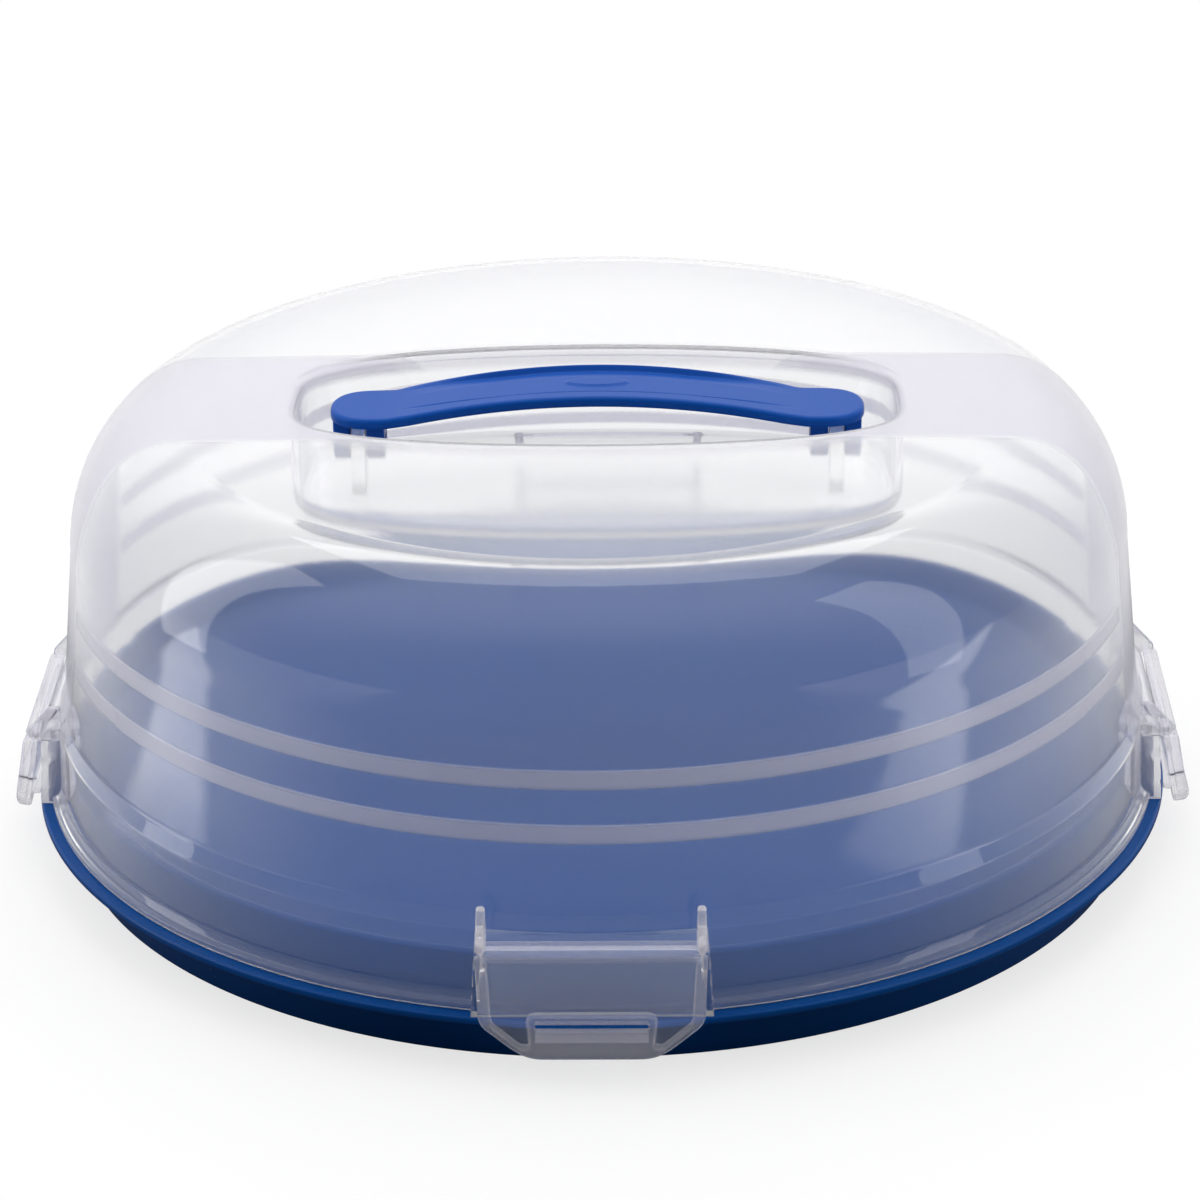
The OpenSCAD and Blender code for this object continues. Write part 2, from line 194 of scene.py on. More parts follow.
def blue_polypropylene(name, colours, roughness, grain, shine):
    """Moulded blue polypropylene: even and slightly waxy, with a soft gloss. The tool's fine
    polish marks, grain mm apart, leave a faint unevenness, and the colour clouds a little."""
    material, place = new_material(name)
    cloud = add_node(material, "ShaderNodeTexNoise", {
        "Vector": place, "Scale": 18.0, "Detail": 3.0})
    tint = add_node(material, "ShaderNodeMix", {
        "Factor": cloud, "A": linear(colours[0]), "B": linear(colours[1])}, data_type="RGBA")
    fine = add_node(material, "ShaderNodeTexNoise", {
        "Vector": place, "Scale": 1 / (grain * mm), "Detail": 2.0})
    gloss = work_out(material, {"fine": fine}, [
        ("gloss", "LINEAR", "fine", 0.0, 1.0, *roughness)])["gloss"]
    relief = add_node(material, "ShaderNodeBump", {
        "Height": fine, "Strength": 0.12, "Distance": 0.02 * mm})
    shader = add_node(material, "ShaderNodeBsdfPrincipled", {
        "Base Color": tint.outputs["Result"], "Roughness": gloss, "Normal": relief,
        "IOR": 1.49, "Specular IOR Level": shine})
    add_node(material, "ShaderNodeOutputMaterial", {"Surface": shader})
    return material


tray_blue = blue_polypropylene("tray_blue_polypropylene", colours=("#00428A", "#004486"),
                               roughness=(0.2, 0.3), grain=1.2, shine=0.12)
tray_profile = rounded(np.array([
    (0, tray_floor), (tray_bank, tray_floor), (tray_bank_top, tray_edge_top),
    (tray_edge, tray_edge_top), (tray_edge, tray_rim_top), (tray_rim, tray_rim_top),
    (tray_rim, tray_rim_under), (tray_body, tray_rim_under), (tray_foot, 0),
    (tray_foot - tray_wall, 0), (tray_body - tray_wall, tray_rim_under),
    (tray_edge - tray_wall, tray_rim_under), (tray_edge - tray_wall, tray_edge_top - tray_wall),
    (tray_bank_top + tray_wall / 3, tray_edge_top - tray_wall),
    (tray_bank + tray_wall / 3, tray_floor - tray_wall), (0, tray_floor - tray_wall)]), tray_radii)
tray_parts = [revolved(refined(tray_profile, 12))]
tray_piece = make_piece("tray_moulding", tray_parts, tray_blue, "tray")
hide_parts("tray")


# Lid: one thin shell of natural polypropylene, moulded clear on the front and the back and
# frosted in a band from side to side. The handle's recess, the flat aprons behind the clips and
# the flange that rests on the tray are all drawn in the same 2 mm wall.
lid_wall, lid_low, lid_top = 2.0, 17.4, 137.4
flange_edge, flange_top, skirt_low = 171.7, 19.4, 168.8
ledge_edge, ledge_top_edge, ledge_low, ledge_high = 168.0, 166.0, 41.5, 46.0
shoulder_start, shoulder_edge, shoulder_width, crown_rise = 95.9, 161.2, 33.0, 1.0
crown_edge = shoulder_edge - shoulder_width
skin_radii = [6, 2.5, 2, 1, 0.5, 0.7, 0.6, 2, 2.5, 6]
recess_long, recess_wide, recess_floor = 181.4, 82.0, 107.4
recess_fillet, recess_lip, recess_power = 4.0, 3.2, 1 / 0.275
apron_out, apron_low_half, apron_high_half = 170.9, 33.8, 32.2
apron_bend, apron_inner_bend = (37.4, 40.0), (38.2, 39.6)
polish_grain = 1.5


def column_angles():
    """Angles round the lid from the front, one degree apart and closer at the aprons' sides."""
    side = np.concatenate([np.linspace(9.5, 10.4, 4), np.linspace(10.55, 11.85, 14), [12.1, 12.5]])
    far = np.linspace(13.2, 45, 32)
    quarter = np.concatenate([-far[::-1], -side[::-1], np.linspace(-9, 9, 15), side, far[:-1]])
    return np.radians((quarter[None] + np.array([0, 90, 180, 270])[:, None]).ravel())


def recess_edge(angle, grow):
    """Distance from the middle of the recess to its edge, in each direction. On the edge, (x over
    half the length) squared and (y over half the width) to recess_power add up to one, and the
    edge is found by halving."""
    across = np.abs(np.sin(angle)) / (recess_long / 2 + grow)
    along = np.abs(np.cos(angle)) / (recess_wide / 2 + grow)
    low, high = np.zeros_like(across), np.full_like(across, recess_long)
    for _ in range(40):
        middle = (low + high) / 2
        inside = (middle * across) ** 2 + (middle * along) ** recess_power < 1
        low, high = np.where(inside, middle, low), np.where(inside, high, middle)
    return low


def crown_height(out):
    """The crown is a shallow bowl turned over: it drops with the square of the distance out."""
    return lid_top + crown_rise * (1 - (out / crown_edge) ** 2)


def dome_line(inset):
    """The lid's section from the crown down to the skirt, set in by inset: the shoulder is a
    quarter of an ellipse, the wall below it is straight."""
    turn_by = np.radians(np.linspace(0, 90, 25))
    out = crown_edge + (shoulder_width - inset) * np.sin(turn_by)
    height = shoulder_start + (lid_top - shoulder_start - inset) * np.cos(turn_by)
    return np.stack([out, height], 1)


def pushed_out(out, height, angle, planes, half):
    """Where a flat apron stands outside the round skirt, the shell follows the apron: it lies
    at the apron's distance, cut off at its two sides, or at the skirt if that is further out.
    half is the apron's half width at its foot and at its top."""
    off = np.abs((angle + np.pi / 4) % (np.pi / 2) - np.pi / 4)
    half = np.interp(height, (lid_low, ledge_low), half)[:, None]
    flat = np.interp(height[:, None], planes[:, 1], planes[:, 0], left=0, right=0) / np.cos(off)
    return np.maximum(out[:, None], np.minimum(flat, half / np.maximum(np.sin(off), 1e-6)))


lid_angle = column_angles()
lip_edge = recess_edge(lid_angle, recess_lip)
lip_turn = np.radians(np.linspace(0, 90, 7))[:, None]
floor_edge = recess_edge(lid_angle, -recess_fillet)
recess_floor_out = np.linspace(0, 1, 7)[:-1, None] * floor_edge
fillet_turn = np.radians(np.linspace(0, 90, 8))[:, None]
wall_rows = np.linspace(0, 1, 9)[1:-1, None]
recess_line = recess_edge(lid_angle, 0)
lip_foot = crown_height(lip_edge) - recess_lip
crown_share = np.linspace(0, 1, 14)[1:-1, None]
crown_out = lip_edge + (crown_edge - lip_edge) * crown_share
lid_rows = [
    (recess_floor_out, recess_floor + 0 * recess_floor_out),
    (floor_edge + (recess_line - floor_edge) * np.sin(fillet_turn),
     recess_floor + recess_fillet * (1 - np.cos(fillet_turn)) + 0 * floor_edge),
    (recess_line + 0 * wall_rows,
     recess_floor + recess_fillet + (lip_foot - recess_floor - recess_fillet) * wall_rows),
    (recess_line + (lip_edge - recess_line) * (1 - np.cos(lip_turn)),
     lip_foot + recess_lip * np.sin(lip_turn)),
    (crown_out, crown_height(crown_out))]

skin_corners = np.array([
    (shoulder_edge, shoulder_start), (ledge_top_edge, ledge_high), (ledge_edge, ledge_low),
    (skirt_low, flange_top + 2.6), (flange_edge - 1.6, flange_top + 0.8), (flange_edge, flange_top),
    (flange_edge, lid_low), (flange_edge - lid_wall, lid_low),
    (skirt_low - lid_wall, flange_top + 2.2), (ledge_edge - lid_wall, ledge_low - lid_wall / 2),
    (ledge_top_edge - lid_wall, ledge_high - lid_wall / 2),
    (shoulder_edge - lid_wall, shoulder_start)])
skin = refined(rounded(skin_corners, skin_radii), 2.5)
bottom_row = int(np.argmax(skin[:, 0] * (skin[:, 1] < lid_low + 0.01)))
outer_skin = np.concatenate([dome_line(0), skin[1:bottom_row + 1]])
inner_skin = np.concatenate([skin[bottom_row + 1:-1], dome_line(lid_wall)[::-1]])
outer_planes = np.array([
    (flange_edge, lid_low - 0.1), (flange_edge, flange_top), (apron_out, apron_bend[0]),
    (apron_out, apron_bend[1]), (ledge_edge, ledge_low), (0, ledge_low + 0.01)])
inner_planes = np.array([
    (flange_edge - lid_wall, lid_low - 0.1), (flange_edge - lid_wall, flange_top),
    (apron_out - lid_wall, apron_inner_bend[0]), (ledge_edge - lid_wall, apron_inner_bend[1]),
    (0, apron_inner_bend[1] + 0.01)])
lid_rows.append((pushed_out(*outer_skin.T, lid_angle, outer_planes,
                            (apron_low_half, apron_high_half)),
                 outer_skin[:, 1:] + 0 * lid_angle))
lid_rows.append((pushed_out(*inner_skin.T, lid_angle, inner_planes,
                            (apron_low_half - lid_wall, apron_high_half - lid_wall)),
                 inner_skin[:, 1:] + 0 * lid_angle))
tub_edge = recess_edge(lid_angle, lid_wall)
tub_soft = recess_edge(lid_angle, lid_wall - recess_fillet)
under_out = (crown_edge + (lip_edge - crown_edge) * np.linspace(0, 1, 12)[1:, None])
tub_rows = np.linspace(0, 1, 8)[1:, None]
tub_low = recess_floor - lid_wall + recess_fillet
lid_rows += [
    (under_out, crown_height(under_out) - lid_wall),
    (tub_edge + (lip_edge - tub_edge) * (1 - np.cos(lip_turn[::-1][1:])),
     lip_foot + (recess_lip - lid_wall) * np.sin(lip_turn[::-1][1:])),
    (tub_edge + 0 * tub_rows, lip_foot + (tub_low - lip_foot) * tub_rows),
    (tub_soft + (tub_edge - tub_soft) * np.cos(fillet_turn),
     tub_low - recess_fillet * np.sin(fillet_turn) + 0 * tub_soft),
    (np.linspace(1, 0, 7)[1:, None] * tub_soft,
     recess_floor - lid_wall + np.zeros((6, 1)) * tub_soft)]
lid_out = np.concatenate([row for row, _ in lid_rows])
lid_height = np.concatenate([row for _, row in lid_rows])
lid_points = np.stack([lid_out * np.sin(lid_angle), -lid_out * np.cos(lid_angle), lid_height], -1)


def slab(outline, low, high, edge=0.5, hole=None):
    """A flat part with round edges: its outline is carried from one face to the other, and drawn
    in by the edge's radius at both faces. Each face closes on its middle, or on a hole. The
    outline is (n, 2) in the plane, and the part's thickness runs along the third axis."""
    along = np.roll(outline, -1, 0) - np.roll(outline, 1, 0)
    inward = np.stack([-along[:, 1], along[:, 0]], 1) / np.linalg.norm(along, axis=1, keepdims=True)
    middle = outline.mean(0)
    inward *= np.sign(((middle - outline) * inward).sum())
    bend = np.radians(np.linspace(0, 90, 5))
    draw = np.concatenate([1 - np.sin(bend), 1 - np.sin(bend[::-1])]) * edge
    level = np.concatenate([low + edge * (1 - np.cos(bend)),
                            high - edge * (1 - np.cos(bend[::-1]))])
    rings = outline[None] + inward[None] * draw[:, None, None]
    centre = np.repeat(middle[None], len(outline), 0) if hole is None else hole
    rings = np.concatenate([centre[None], rings, centre[None]])
    level = np.concatenate([[low], level, [high]])
    points = np.concatenate([rings, level[:, None, None] + 0 * rings[:, :, :1]], -1)
    return points, grid_faces(len(rings), len(outline), True, hole is not None)


def turned(points, quarters):
    """The same points turned about the upright axis by a number of quarter turns."""
    c, s = np.cos(quarters * np.pi / 2), np.sin(quarters * np.pi / 2)
    return points @ np.array([(c, s, 0), (-s, c, 0), (0, 0, 1)])


# Hinge fins: two thin plates on each apron, moulded with the lid, with an eye for the clip's bar.
hinge_out, hinge_high, eye_radius = 172.5, 40.0, 2.6
fin_place, fin_thick, fin_low, fin_top, fin_back, fin_front = 30.6, 2.6, 37.4, 48.5, 164.6, 168.2
eye_turn = np.radians(np.linspace(35, -90, 12))
eye_arc = np.stack([hinge_out + eye_radius * np.cos(eye_turn),
                    hinge_high + eye_radius * np.sin(eye_turn)], 1)
fin_line = rounded(np.concatenate([
    [(fin_back, 45.0), (fin_back, fin_top), (fin_front, fin_top)], eye_arc[:1]]), [0.6, 1.3])
fin_outline = np.concatenate([
    fin_line[1:-1], eye_arc, [(170.0, fin_low), (165.2, fin_low)], [(fin_back, hinge_high)]])
fin_outline = refined(np.concatenate([fin_outline, fin_outline[:1]]), 1.2)[:-1]
lid_parts = [(lid_points, grid_faces(*lid_points.shape[:2]))]
for quarter in range(4):
    for side in (-1, 1):
        flat, fin_faces = slab(fin_outline, -fin_thick / 2, fin_thick / 2, 1.0)
        fin = np.stack([flat[..., 2] + side * fin_place, -flat[..., 0], flat[..., 1]], -1)
        lid_parts.append((turned(fin, quarter), fin_faces))

# Lugs: two round-topped posts on the recess floor, with a stub pin on each side for the handle.
lug_place, lug_thick, lug_radius, pivot_high = 72.5, 4.4, 6.5, 123.4
pin_radius, pin_long = 2.5, 4.0
arch_turn = np.radians(np.linspace(0, 180, 19))
lug_outline = np.concatenate([
    np.stack([lug_radius * np.cos(arch_turn), pivot_high + lug_radius * np.sin(arch_turn)], 1),
    [(-lug_radius, recess_floor - 1), (lug_radius, recess_floor - 1)]])
lug_outline = refined(np.concatenate([lug_outline, lug_outline[:1]]), 2)[:-1]
pin_turn = np.linspace(0, 2 * np.pi, 32, endpoint=False)
pin_end = lug_thick / 2 + pin_long
pin_line = rounded(np.array([(0, 0), (pin_radius, 0), (pin_radius, 1), (pin_radius, pin_end),
                             (0, pin_end)]), [0.01, 0.01, 0.6])
for side in (-1, 1):
    flat, lug_faces = slab(lug_outline, -lug_thick / 2, lug_thick / 2, 0.6)
    lug = np.stack([flat[..., 2] + side * lug_place, flat[..., 0], flat[..., 1]], -1)
    lid_parts.append((lug, lug_faces))
    for way in (-1, 1):
        pin = np.stack([side * lug_place + way * pin_line[:, 1:] + 0 * pin_turn,
                        pin_line[:, :1] * np.cos(pin_turn),
                        pivot_high + pin_line[:, :1] * np.sin(pin_turn)], -1)
        lid_parts.append((pin, grid_faces(*pin.shape[:2])))


def clear_polypropylene(name, clear, frosted, bend, skin, mask):
    """Natural polypropylene is milky: it lets light through, scatters part of it, and is glossy
    where the mould was polished. clear and frosted are (roughness, share of light let through)
    for polished and for blasted places, and mask gives the blasted places; on the clips it gives
    the thick border and a painted highlight, a milkier line along the border's inner edge. bend
    is how strongly it bends light, and skin is the weight of its glossy skin. Seen edge on, light
    goes a longer way through it, so it looks milkier there. Lamps shine through it with a small
    loss."""
    material, place = new_material(name)
    facing = add_node(material, "ShaderNodeLayerWeight", {"Blend": 0.5}).outputs["Facing"]
    known = work_out(material, {"facing": facing, "frost": mask(material, place)}, [
        ("edge on", "LINEAR", "facing", 0.2, 0.85, 0.0, 0.9),
        ("milky", "MAXIMUM", "frost", "edge on"),
        ("roughness", "LINEAR", "frost", 0.0, 1.0, clear[0], frosted[0]),
        ("passed", "LINEAR", "milky", 0.0, 1.0, clear[1], frosted[1]),
        ("contour", "SMOOTHSTEP", "facing", 0.55, 0.95),
        ("tinted", "MAXIMUM", "frost", "contour")])
    tint = add_node(material, "ShaderNodeMix", {
        "Factor": known["tinted"], "A": linear("#FFFFFF"), "B": linear("#F1EFF5")},
        data_type="RGBA")
    fine = add_node(material, "ShaderNodeTexNoise", {
        "Vector": place, "Scale": 1 / (polish_grain * mm), "Detail": 2.0})
    relief = add_node(material, "ShaderNodeBump", {
        "Height": fine, "Strength": 0.1, "Distance": 0.01 * mm})
    plastic = add_node(material, "ShaderNodeBsdfPrincipled", {
        "Base Color": tint.outputs["Result"], "Roughness": known["roughness"],
        "Transmission Weight": known["passed"], "Normal": relief, "IOR": bend,
        "Coat Weight": skin, "Coat Roughness": 0.12, "Coat IOR": 1.45})
    passing = add_node(material, "ShaderNodeBsdfTransparent", {"Color": linear("#E0E2E6")})
    path = add_node(material, "ShaderNodeLightPath")
    both = add_node(material, "ShaderNodeMixShader", {
        0: path.outputs["Is Shadow Ray"], 1: plastic, 2: passing})
    add_node(material, "ShaderNodeOutputMaterial", {"Surface": both})
    return material


band_top, band_side, stripe_heights, stripe_half, stripe_reach = 36, 44, (85.0, 69.2), 2.6, 46.5
polished_margin = 5


def frosted_band(material, place):
    """One where the lid is frosted: a band 36 mm to each side of the middle line on top, which
    widens to 44 mm down the side walls, the rim of the recess, the fins, and two stripes round
    the wall between the bands. The inside of the recess is polished, within the outline that
    recess_edge gives 5 mm further out."""
    axis = add_node(material, "ShaderNodeSeparateXYZ", {"Vector": place})
    steps = [
        ("aside", "ABSOLUTE", "y"),
        ("edge", "SMOOTHSTEP", "height", 0.137, 0.110, band_top * mm, band_side * mm),
        ("beyond", "SUBTRACT", "aside", "edge"),
        ("band", "SMOOTHSTEP", "beyond", 0.0006, -0.0006),
        ("out", "ABSOLUTE", "x"),
        ("along", "DIVIDE", "out", (recess_long / 2 + polished_margin) * mm),
        ("along", "POWER", "along", 2.0),
        ("across", "DIVIDE", "aside", (recess_wide / 2 + polished_margin) * mm),
        ("across", "POWER", "across", recess_power),
        ("around", "ADD", "along", "across"),
        ("within", "SMOOTHSTEP", "around", 1.01, 0.99),
        ("high", "SMOOTHSTEP", "height", 0.1310, 0.1340),
        ("low", "SUBTRACT", 1.0, "high"),
        ("polished", "MULTIPLY", "within", "low"),
        ("dull", "SUBTRACT", 1.0, "polished"),
        ("band", "MULTIPLY", "band", "dull"),
        ("above ledge", "SMOOTHSTEP", "height", 0.0420, 0.0455),
        ("above ledge", "MAXIMUM", "above ledge", 0.35),
        ("band", "MULTIPLY", "band", "above ledge"),
        ("recess rim", "MULTIPLY", "within", "high"),
        ("recess rim", "MULTIPLY", "recess rim", 0.5),
        ("band", "MAXIMUM", "band", "recess rim"),
        ("from fin", "SUBTRACT", "out", fin_place * mm),
        ("from fin", "ABSOLUTE", "from fin"),
        ("fin", "SMOOTHSTEP", "from fin", 0.0016, 0.0014),
        ("on apron", "SMOOTHSTEP", "aside", 0.1640, 0.1650),
        ("above foot", "SMOOTHSTEP", "height", 0.0370, 0.0380, 0.0, 0.75),
        ("fin", "MULTIPLY", "fin", "on apron"),
        ("fin", "MULTIPLY", "fin", "above foot"),
        ("frost", "MAXIMUM", "band", "fin"),
        ("reach", "SMOOTHSTEP", "aside", (stripe_reach - 1) * mm, (stripe_reach + 1) * mm)]
    for middle in stripe_heights:
        steps += [
            ("from stripe", "SUBTRACT", "height", middle * mm),
            ("from stripe", "ABSOLUTE", "from stripe"),
            ("stripe", "SMOOTHSTEP", "from stripe",
             (stripe_half + 0.4) * mm, (stripe_half - 0.4) * mm),
            ("stripe", "MULTIPLY", "stripe", "reach"),
            ("frost", "MAXIMUM", "frost", "stripe")]
    known = {"x": axis.outputs["X"], "y": axis.outputs["Y"], "height": axis.outputs["Z"]}
    return work_out(material, known, steps)["frost"]


lid_clear = clear_polypropylene("lid_clear_polypropylene", clear=(0.05, 0.985), frosted=(0.22, 0.7),
                                bend=1.45, skin=0.0, mask=frosted_band)
lid_piece = make_piece("lid_moulding", lid_parts, lid_clear, "lid")
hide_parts("lid")


# Handle: one strap of blue polypropylene with two flat round ends, moulded in one shot. Four legs
# under its ends snap over the lid's stub pins, so it folds to either side of the recess.
strap_long, strap_half_wide, paddle_half = 162.0, 15.0, 13.5
paddle_place = strap_long / 2 - paddle_half
strap_thick, paddle_top, arch_rise, arch_half, end_power = 3.3, 134.9, 7.5, 62.0, 2.4
dish_deep, crease_deep, hollow_deep, neck_deep = 1.9, 1.3, 0.6, 0.5
pad_long, pad_wide, pad_high = 9.5, 3.5, 0.45
leg_places = ((64.5, 70.0), (75.0, 80.0))


def strap_top(x):
    """Height of the strap's top: flat on the ends, a parabola between them, with the bends
    between the two softened."""
    arch = arch_rise * (1 - (x / arch_half) ** 2)
    return paddle_top + (arch + np.sqrt(arch ** 2 + 0.25)) / 2 - 0.03


def strap_half(x):
    """Half width of the strap: a little wider at the middle, blunt and round at the ends (away
    from the middle and width to the power 2.4 add up to one) and slightly drawn in at the neck
    between the two."""
    away = np.abs(x)
    wide = paddle_half + (strap_half_wide - paddle_half) * (1 - (away / paddle_place) ** 2)
    neck = neck_deep * np.exp(-((away - arch_half + 1) / 3) ** 2)
    beyond = np.clip(away - paddle_place, 0, paddle_half) / paddle_half
    cap = paddle_half * (1 - beyond ** end_power) ** (1 / end_power)
    return np.where(away > paddle_place, cap, wide - neck)


def smooth_step(value, start, stop):
    """Rises from 0 at start to 1 at stop on an S curve."""
    t = np.clip((value - start) / (stop - start), 0, 1)
    return t * t * (3 - 2 * t)


strap_x = np.concatenate([np.linspace(-paddle_place, paddle_place, 226),
                          paddle_place + paddle_half * np.sin(np.radians(np.linspace(4, 90, 22)))])
strap_x = np.sort(np.concatenate([strap_x, -strap_x[-22:]]))[:, None]
strap_p = np.sin(np.radians(90 * np.linspace(-1, 1, 161)))[None]
strap_p = np.sign(strap_p) * np.abs(strap_p) ** 0.85
strap_y = strap_p * strap_half(strap_x)
from_edge = np.where(np.abs(strap_x) > paddle_place,
                     paddle_half - (np.clip(np.abs(strap_x) - paddle_place, 0, None) ** end_power
                                    + np.abs(strap_y) ** end_power) ** (1 / end_power),
                     strap_half(strap_x) - np.abs(strap_y))
from_edge = np.clip(from_edge, 0, None)


def edge_drop(distance, radius):
    """How far a round edge of that radius has dropped at a distance in from the edge."""
    inside = np.clip(radius - distance, 0, radius)
    return radius - np.sqrt(radius ** 2 - inside ** 2)


fade = 1 - smooth_step(np.abs(strap_x), 26, 62)
squeeze = 1 - 0.3 * (np.abs(strap_x) / arch_half) ** 3
side_y = strap_y / squeeze
dish = smooth_step(side_y, 14.2, 12.2) * smooth_step(side_y, -9.9, -8.9) * dish_deep
crease = np.clip((12.5 - side_y) / 7.5, 0, 1) * smooth_step(side_y, -8.7, -7.8) * crease_deep
pad = smooth_step(np.hypot(strap_x / pad_long, strap_y / pad_wide), 1.06, 0.9) * pad_high
strap_upper = strap_top(strap_x) - (dish - crease) * fade + pad - edge_drop(from_edge, 1.5)
hollow = smooth_step(from_edge, 1.8, 3.0) * (1 - smooth_step(np.abs(strap_x), 54, 58))
hollow = hollow * hollow_deep
strap_lower = strap_top(strap_x) - strap_thick + edge_drop(from_edge, 0.8) + hollow
strap_points = np.concatenate([
    np.stack([strap_x + 0 * strap_y, strap_y, strap_upper], -1),
    np.stack([strap_x + 0 * strap_y, strap_y, strap_lower], -1)[:, ::-1]], 1)
handle_parts = [(strap_points, grid_faces(*strap_points.shape[:2]))]
leg_high = paddle_top - 1.2
leg_outline = np.concatenate([
    np.stack([lug_radius * np.cos(arch_turn + np.pi),
              pivot_high + lug_radius * np.sin(arch_turn + np.pi)], 1),
    [(lug_radius, leg_high), (-lug_radius, leg_high)]])
leg_outline = refined(np.concatenate([leg_outline, leg_outline[:1]]), 1.0)[:-1]
leg_angle = np.arctan2(leg_outline[:, 1] - pivot_high, leg_outline[:, 0])
bore = pin_radius + 0.07
leg_bore = np.stack([bore * np.cos(leg_angle), pivot_high + bore * np.sin(leg_angle)], 1)
for side in (-1, 1):
    for low, high in leg_places:
        flat, leg_faces = slab(leg_outline, low, high, 0.6, leg_bore)
        leg = np.stack([side * flat[..., 2], flat[..., 0], flat[..., 1]], -1)
        handle_parts.append((leg, leg_faces))
handle_blue = blue_polypropylene("handle_blue_polypropylene", colours=("#0049A6", "#004BA2"),
                                 roughness=(0.3, 0.4), grain=0.9, shine=0.15)
handle_piece = make_piece("handle_moulding", handle_parts, handle_blue, "handle")
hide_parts("handle")


# Clips: four plates of natural polypropylene. Each has a thick border round a thin panel, a bar
# that snaps into the fins' eyes, a hook that snaps under the tray's rim, and a slot above it.
clip_half, clip_low, clip_lean = 32.2, 31.6, math.radians(10.5)
clip_low_half, clip_foot_half, corner_high = 31.4, 19.2, 9.6
neck_half, neck_low, border, head = 29.0, 2.9, 2.9, 4.2
face_out, face_in, panel_out = 3.3, 1.0, 0.8
slot_half, slot_top, slot_low, slot_edge = 15.8, 21.8, 24.2, 2.4
bar_radius, lip_flare, rib_high, groove_deep = 1.3, 1.7, 0.35, 0.5
hook_high, hook_low, hook_in = 14.3, 12.1, 172.6

clip_corner = rounded(np.array([
    (clip_half, -neck_low), (clip_low_half, -clip_low + corner_high),
    (clip_foot_half, -clip_low), (0, -clip_low)]), [6, 14], 12)


def clip_rows():
    """Depths of the grid's rows below the hinge, closer together at the edges and the slot."""
    return np.unique(np.round(np.concatenate([
        np.linspace(0, 1.2, 7), np.linspace(1.2, 5.2, 15), np.linspace(5.2, 18, 28),
        np.linspace(18, slot_top, 14), np.linspace(slot_top, slot_low, 6),
        np.linspace(slot_low, 28, 12), np.linspace(28, clip_low - 1.2, 8),
        np.linspace(clip_low - 1.2, clip_low, 8)]), 4))


def distance_inside(u, v, line):
    """Distance from each point to the nearest point of a line, over all its stretches."""
    start, stop = line[:-1], line[1:]
    way = stop - start
    share = ((u[..., None] - start[:, 0]) * way[:, 0] + (v[..., None] - start[:, 1]) * way[:, 1])
    share = np.clip(share / np.maximum((way ** 2).sum(1), 1e-9), 0, 1)
    return np.hypot(u[..., None] - start[:, 0] - share * way[:, 0],
                    v[..., None] - start[:, 1] - share * way[:, 1]).min(-1)


def plate_faces(keep):
    """Faces of a plate with two sides on one grid: both sides of each kept cell, and a wall
    wherever a kept cell meets none, so the rim and any hole are closed."""
    rows, columns = keep.shape[0] + 1, keep.shape[1] + 1
    front = np.arange(rows * columns).reshape(rows, columns)
    back = front + rows * columns
    i, j = np.nonzero(keep)
    cells = [np.stack([s[i, j], s[i, j + 1], s[i + 1, j + 1], s[i + 1, j]], 1)
             for s in (front, back)]
    wide = np.pad(keep, 1)
    i, j = np.nonzero(wide[:-1, 1:-1] != wide[1:, 1:-1])
    cells.append(np.stack([front[i, j], front[i, j + 1], back[i, j + 1], back[i, j]], 1))
    i, j = np.nonzero(wide[1:-1, :-1] != wide[1:-1, 1:])
    cells.append(np.stack([front[i, j], front[i + 1, j], back[i + 1, j], back[i, j]], 1))
    return np.concatenate(cells)


depth = clip_rows()
half_at = np.interp(depth, -clip_corner[:-1, 1], clip_corner[:-1, 0])
half_at = np.where(depth < neck_low - 0.01, neck_half, half_at)
inner_share = np.minimum(slot_half, 0.6 * half_at)[:, None]
inside_steps, outside_steps = np.linspace(0, 1, 46)[None], np.linspace(0, 1, 47)[None, 1:]
outside_steps = 1 - (1 - outside_steps) ** 1.4
right_side = np.concatenate([inner_share * inside_steps,
                             inner_share + (half_at[:, None] - inner_share) * outside_steps], 1)
plate_u = np.concatenate([-right_side[:, :0:-1], right_side], 1)
plate_v = -depth[:, None] + 0 * plate_u
aside = np.abs(plate_u)
middle_slot = (slot_top + slot_low) / 2
corner = np.where(aside <= slot_half + 0.001, np.clip((aside - slot_half + 0.7) / 0.7, 0, 1),
                  np.clip(1 - (aside - slot_half) / 2, 0, 1))
pinch = 0.6 * (1 - np.sqrt(1 - corner ** 2))
near_slot = np.exp(-((-plate_v - middle_slot) / 1.6) ** 2)
plate_v = plate_v + pinch * near_slot * np.sign(-plate_v - middle_slot)

outline_right = np.concatenate([[(neck_half, 0), (neck_half, -neck_low)], clip_corner])
outline = np.concatenate([outline_right, outline_right[::-1] * (-1, 1), [(neck_half, 0)]])
rim_distance = distance_inside(plate_u, plate_v, outline)
panel_foot = slot_half + slot_edge
panel_corners = np.array([
    (0, -head), (clip_half - border, -head),
    (clip_low_half - border - 0.4, -clip_low + corner_high),
    (panel_foot + 1.6, -clip_low + border), (panel_foot - 1.2, -clip_low + border + 0.2),
    (panel_foot, -slot_top + slot_edge), (0, -slot_top + slot_edge)])
panel_right = rounded(panel_corners, [1.2, 3, 1.2, 0.8, 2.4], 8)
panel_line = np.concatenate([panel_right, panel_right[::-1] * (-1, 1)])
from_panel = distance_inside(plate_u, plate_v, panel_line)


